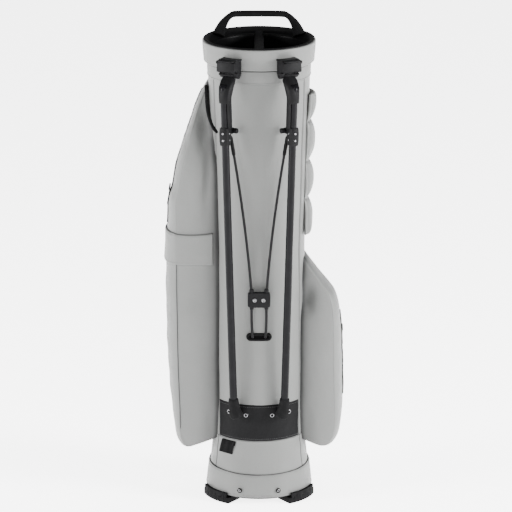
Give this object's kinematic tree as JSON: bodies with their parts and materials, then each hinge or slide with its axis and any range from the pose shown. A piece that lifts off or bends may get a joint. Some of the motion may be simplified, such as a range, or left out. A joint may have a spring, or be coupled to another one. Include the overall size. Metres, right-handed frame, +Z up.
{
  "type": "golf stand bag",
  "caption": "Upright golf bag with a tapered tube, moulded rim, side pockets, quilted back pad, shoulder straps and fold-out legs worked by a tilting sprung boot.",
  "frame": {"origin": "on the floor, under the middle of the whole object's bounding box", "axes": "+Z up along the tube, -Y towards the folded legs (the front), +X towards the shorter pocket (the right side as seen from the front)"},
  "size_m": [0.3364, 0.2718, 0.9125],
  "materials": {
    "leather_grey": "fine-grained, satin, mid grey",
    "leather_black": "fine-grained, satin, black",
    "plastic_black": "fine moulded texture, charcoal",
    "rubber_black": "matt black",
    "webbing_black": "woven polyester webbing, black",
    "enamel_black": "gloss black enamel on aluminium tube",
    "nickel": "bright nickel plate",
    "lining_black": "matt lining cloth, black",
    "fibreglass_black": "smooth black glass-fibre rod"
  },
  "bodies": {
    "bag": {"body_tube": "leather_grey", "rim_moulding": "plastic_black", "cuff_cover": "leather_grey", "neck_band": "leather_grey", "divider_sheet": "lining_black", "lower_cup": "plastic_black", "lift_handle": "webbing_black", "handle_grip": "rubber_black", "leg_bracket_left": "plastic_black", "leg_pivot_pin_left": "nickel", "panel_rivet_inner_left": "nickel", "panel_rivet_outer_left": "nickel", "strap_pad_left": "leather_grey", "strap_web_left": "webbing_black", "leg_bracket_right": "plastic_black", "leg_pivot_pin_right": "nickel", "panel_rivet_inner_right": "nickel", "panel_rivet_outer_right": "nickel", "strap_pad_right": "leather_grey", "strap_web_right": "webbing_black", "slot_grommet": "rubber_black", "leg_rest_panel": "leather_black", "side_tab": "webbing_black", "left_pocket": "leather_grey", "left_pocket_band": "leather_grey", "right_pocket": "leather_grey", "rear_pocket": "leather_grey", "back_pad": "leather_grey", "strap_top_anchor": "plastic_black", "strap_lower_anchor": "plastic_black"},
    "boot": {"boot_shell": "plastic_black", "boot_skin": "leather_grey", "boot_hinge_pin": "nickel", "rear_foot": "rubber_black", "front_foot_left": "rubber_black", "front_foot_right": "rubber_black", "boot_screw_left": "nickel", "boot_screw_right": "nickel"},
    "actuator": {"bridge_block": "plastic_black", "actuator_yoke": "nickel", "bridge_rivet_left": "nickel", "bridge_rivet_right": "nickel", "lower_strand_left": "fibreglass_black", "lower_strand_right": "fibreglass_black"},
    "rod_left": {"flex_rod_left": "fibreglass_black"},
    "leg_left": {"leg_cap_left": "plastic_black", "leg_tube_left": "enamel_black", "leg_clamp_left": "plastic_black", "rod_pin_left": "plastic_black", "leg_foot_left": "rubber_black"},
    "zip_left": {"zip_pull_left": "nickel"},
    "rod_right": {"flex_rod_right": "fibreglass_black"},
    "leg_right": {"leg_cap_right": "plastic_black", "leg_tube_right": "enamel_black", "leg_clamp_right": "plastic_black", "rod_pin_right": "plastic_black", "leg_foot_right": "rubber_black"},
    "zip_right": {"zip_pull_right": "nickel"}
  },
  "joints": [
    {"name": "boot_tilt", "type": "hinge", "parent": "bag", "child": "boot", "pos_m": [0.00878, 0.05284, 0.045], "axis": [-1, 0, 0], "range_deg": [0, 8.52], "stiffness_Nm_per_rad": 12, "springref_deg": -20.05},
    {"name": "actuator_rise", "type": "slide", "parent": "bag", "child": "actuator", "axis": [0, 0, 1], "range_m": [0, 0.0201], "deforming": ["lower_strand_left", "lower_strand_right"]},
    {"name": "rod_swing_left", "type": "hinge", "parent": "actuator", "child": "rod_left", "pos_m": [-0.00492, -0.10916, 0.407], "axis": [0.8696, -0.4804, 0.1143], "range_deg": [0, 8.95]},
    {"name": "leg_swing_left", "type": "hinge", "parent": "bag", "child": "leg_left", "pos_m": [-0.0438, -0.10805, 0.829], "axis": [-0.8829, 0.4695, 0], "range_deg": [0, 27.94]},
    {"name": "rod_swing_right", "type": "hinge", "parent": "actuator", "child": "rod_right", "pos_m": [0.02248, -0.10916, 0.407], "axis": [0.8696, 0.4804, -0.1143], "range_deg": [0, 8.95]},
    {"name": "leg_swing_right", "type": "hinge", "parent": "bag", "child": "leg_right", "pos_m": [0.06136, -0.10805, 0.829], "axis": [-0.8829, -0.4695, 0], "range_deg": [0, 27.94]},
    {"name": "zip_slide_left", "type": "slide", "parent": "bag", "child": "zip_left", "axis": [-0.0599, 0, -0.9982], "range_m": [0, 0.045]},
    {"name": "zip_slide_right", "type": "slide", "parent": "bag", "child": "zip_right", "axis": [0.02, 0, -0.9998], "range_m": [0, 0.08]}
  ],
  "couplings": [
    {"joint": "actuator_rise", "follows": "boot_tilt", "m_per_rad": 0.1345},
    {"joint": "rod_swing_left", "follows": "boot_tilt", "ratio": 1.0503},
    {"joint": "leg_swing_left", "follows": "boot_tilt", "ratio": 3.278},
    {"joint": "rod_swing_right", "follows": "boot_tilt", "ratio": 1.0503},
    {"joint": "leg_swing_right", "follows": "boot_tilt", "ratio": 3.278}
  ]
}
